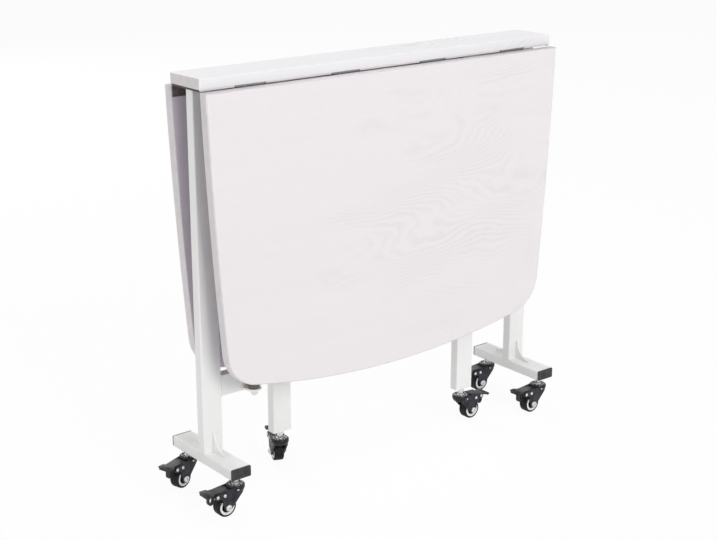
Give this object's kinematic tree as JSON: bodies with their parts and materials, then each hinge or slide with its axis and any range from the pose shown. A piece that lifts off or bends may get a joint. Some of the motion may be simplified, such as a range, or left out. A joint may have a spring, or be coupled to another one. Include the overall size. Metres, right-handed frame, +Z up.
{
  "type": "folding dining table",
  "caption": "Drop-leaf dining table in its folded state: a narrow fixed strip, two hanging leaves, swinging gates and braked swivel casters.",
  "frame": {"origin": "middle of the folded table's footprint box, on the floor", "axes": "+X along the leaf hinges, -Y towards the front leaf, +Z up"},
  "size_m": [0.84, 0.1922, 0.76],
  "materials": {
    "white_board": "satin white laminate with a faint wood grain",
    "white_frame": "satin white powder coat",
    "cap_plastic": "matte",
    "bush_plastic": "matte",
    "caster_plastic": "satin",
    "pedal_plastic": "satin",
    "tyre": "matte",
    "wheel_rim": "gloss",
    "caster_chrome": "polished",
    "zinc_steel": "zinc plated",
    "bracket_zinc": "yellow zinc"
  },
  "bodies": {
    "frame": {"center_top": "white_board", "left_post": "white_frame", "right_post": "white_frame", "left_foot": "white_frame", "right_foot": "white_frame", "foot_end_caps": "cap_plastic", "foot_gussets": "white_frame", "upper_rail": "white_frame", "lower_stretcher": "white_frame", "top_plates": "white_frame", "top_screws": "zinc_steel", "fixed_hinge_plates": "zinc_steel", "gate_brackets": "bracket_zinc", "gate_pivot_bushes": "bush_plastic", "gate_pivot_rods": "zinc_steel", "foot_caster_stems": "zinc_steel"},
    "front_leaf": {"front_leaf": "white_board", "front_leaf_hinges": "zinc_steel"},
    "rear_leaf": {"rear_leaf": "white_board", "rear_leaf_hinges": "zinc_steel"},
    "front_gate": {"front_gate_leg": "white_frame", "front_gate_upper_arm": "white_frame", "front_gate_lower_arm": "white_frame", "front_gate_pivot_tube": "white_frame", "front_gate_caster_stem": "zinc_steel"},
    "rear_gate": {"rear_gate_leg": "white_frame", "rear_gate_upper_arm": "white_frame", "rear_gate_lower_arm": "white_frame", "rear_gate_pivot_tube": "white_frame", "rear_gate_caster_stem": "zinc_steel"},
    "front_left_caster": {"front_left_caster_fork": "caster_plastic", "front_left_caster_hardware": "caster_chrome"},
    "front_left_wheel": {"front_left_wheel_rim": "wheel_rim", "front_left_tyre": "tyre"},
    "front_left_pedal": {"front_left_brake_pedal": "pedal_plastic"},
    "rear_left_caster": {"rear_left_caster_fork": "caster_plastic", "rear_left_caster_hardware": "caster_chrome"},
    "rear_left_wheel": {"rear_left_wheel_rim": "wheel_rim", "rear_left_tyre": "tyre"},
    "rear_left_pedal": {"rear_left_brake_pedal": "pedal_plastic"},
    "front_right_caster": {"front_right_caster_fork": "caster_plastic", "front_right_caster_hardware": "caster_chrome"},
    "front_right_wheel": {"front_right_wheel_rim": "wheel_rim", "front_right_tyre": "tyre"},
    "front_right_pedal": {"front_right_brake_pedal": "pedal_plastic"},
    "rear_right_caster": {"rear_right_caster_fork": "caster_plastic", "rear_right_caster_hardware": "caster_chrome"},
    "rear_right_wheel": {"rear_right_wheel_rim": "wheel_rim", "rear_right_tyre": "tyre"},
    "rear_right_pedal": {"rear_right_brake_pedal": "pedal_plastic"},
    "front_gate_caster": {"front_gate_caster_fork": "caster_plastic", "front_gate_caster_hardware": "caster_chrome"},
    "front_gate_wheel": {"front_gate_wheel_rim": "wheel_rim", "front_gate_tyre": "tyre"},
    "front_gate_pedal": {"front_gate_brake_pedal": "pedal_plastic"},
    "rear_gate_caster": {"rear_gate_caster_fork": "caster_plastic", "rear_gate_caster_hardware": "caster_chrome"},
    "rear_gate_wheel": {"rear_gate_wheel_rim": "wheel_rim", "rear_gate_tyre": "tyre"},
    "rear_gate_pedal": {"rear_gate_brake_pedal": "pedal_plastic"}
  },
  "joints": [
    {"name": "front_leaf_hinge", "type": "hinge", "parent": "frame", "child": "front_leaf", "pos_m": [0.01975, -0.0425, 0.7395], "axis": [-1, 0, 0], "range_deg": [0, 90]},
    {"name": "rear_leaf_hinge", "type": "hinge", "parent": "frame", "child": "rear_leaf", "pos_m": [0.01975, 0.0425, 0.7395], "axis": [1, 0, 0], "range_deg": [0, 90]},
    {"name": "front_gate_pivot", "type": "hinge", "parent": "frame", "child": "front_gate", "pos_m": [-0.27525, -0.027, 0.4], "axis": [0, 0, -1], "range_deg": [0, 90]},
    {"name": "rear_gate_pivot", "type": "hinge", "parent": "frame", "child": "rear_gate", "pos_m": [0.31475, 0.027, 0.4], "axis": [0, 0, -1], "range_deg": [0, 90]},
    {"name": "front_left_swivel", "type": "hinge", "parent": "frame", "child": "front_left_caster", "pos_m": [-0.35275, -0.0755, 0.05], "axis": [0, 0, 1], "continuous": true},
    {"name": "front_left_roll", "type": "hinge", "parent": "front_left_caster", "child": "front_left_wheel", "pos_m": [-0.37625, -0.0755, 0.019], "axis": [0, -1, 0], "continuous": true},
    {"name": "front_left_brake", "type": "hinge", "parent": "front_left_caster", "child": "front_left_pedal", "pos_m": [-0.38325, -0.0755, 0.0435], "axis": [0, -1, 0], "range_deg": [0, 12]},
    {"name": "rear_left_swivel", "type": "hinge", "parent": "frame", "child": "rear_left_caster", "pos_m": [-0.35275, 0.0755, 0.05], "axis": [0, 0, 1], "continuous": true},
    {"name": "rear_left_roll", "type": "hinge", "parent": "rear_left_caster", "child": "rear_left_wheel", "pos_m": [-0.37534, 0.06902, 0.019], "axis": [0.2756, -0.9613, 0], "continuous": true},
    {"name": "rear_left_brake", "type": "hinge", "parent": "rear_left_caster", "child": "rear_left_pedal", "pos_m": [-0.38207, 0.06709, 0.0435], "axis": [0.2756, -0.9613, 0], "range_deg": [0, 12]},
    {"name": "front_right_swivel", "type": "hinge", "parent": "frame", "child": "front_right_caster", "pos_m": [0.39225, -0.0755, 0.05], "axis": [0, 0, 1], "continuous": true},
    {"name": "front_right_roll", "type": "hinge", "parent": "front_right_caster", "child": "front_right_wheel", "pos_m": [0.36875, -0.0755, 0.019], "axis": [0, -1, 0], "continuous": true},
    {"name": "front_right_brake", "type": "hinge", "parent": "front_right_caster", "child": "front_right_pedal", "pos_m": [0.36175, -0.0755, 0.0435], "axis": [0, -1, 0], "range_deg": [0, 12]},
    {"name": "rear_right_swivel", "type": "hinge", "parent": "frame", "child": "rear_right_caster", "pos_m": [0.39225, 0.0755, 0.05], "axis": [0, 0, 1], "continuous": true},
    {"name": "rear_right_roll", "type": "hinge", "parent": "rear_right_caster", "child": "rear_right_wheel", "pos_m": [0.36875, 0.0755, 0.019], "axis": [0, -1, 0], "continuous": true},
    {"name": "rear_right_brake", "type": "hinge", "parent": "rear_right_caster", "child": "rear_right_pedal", "pos_m": [0.36175, 0.0755, 0.0435], "axis": [0, -1, 0], "range_deg": [0, 12]},
    {"name": "front_gate_swivel", "type": "hinge", "parent": "front_gate", "child": "front_gate_caster", "pos_m": [0.22275, -0.027, 0.0535], "axis": [0, 0, 1], "continuous": true},
    {"name": "front_gate_roll", "type": "hinge", "parent": "front_gate_caster", "child": "front_gate_wheel", "pos_m": [0.24625, -0.027, 0.0225], "axis": [0, 1, 0], "continuous": true},
    {"name": "front_gate_brake", "type": "hinge", "parent": "front_gate_caster", "child": "front_gate_pedal", "pos_m": [0.25325, -0.027, 0.047], "axis": [0, 1, 0], "range_deg": [-12, 0]},
    {"name": "rear_gate_swivel", "type": "hinge", "parent": "rear_gate", "child": "rear_gate_caster", "pos_m": [-0.18325, 0.027, 0.0535], "axis": [0, 0, 1], "continuous": true},
    {"name": "rear_gate_roll", "type": "hinge", "parent": "rear_gate_caster", "child": "rear_gate_wheel", "pos_m": [-0.17445, 0.04879, 0.0225], "axis": [-0.9272, 0.3746, 0], "continuous": true},
    {"name": "rear_gate_brake", "type": "hinge", "parent": "rear_gate_caster", "child": "rear_gate_pedal", "pos_m": [-0.17182, 0.05528, 0.047], "axis": [-0.9272, 0.3746, 0], "range_deg": [0, 12]}
  ],
  "couplings": [
    {"joint": "front_gate_pivot", "follows": "front_leaf_hinge", "ratio": 0.02},
    {"joint": "rear_gate_pivot", "follows": "rear_leaf_hinge", "ratio": 0.02}
  ]
}
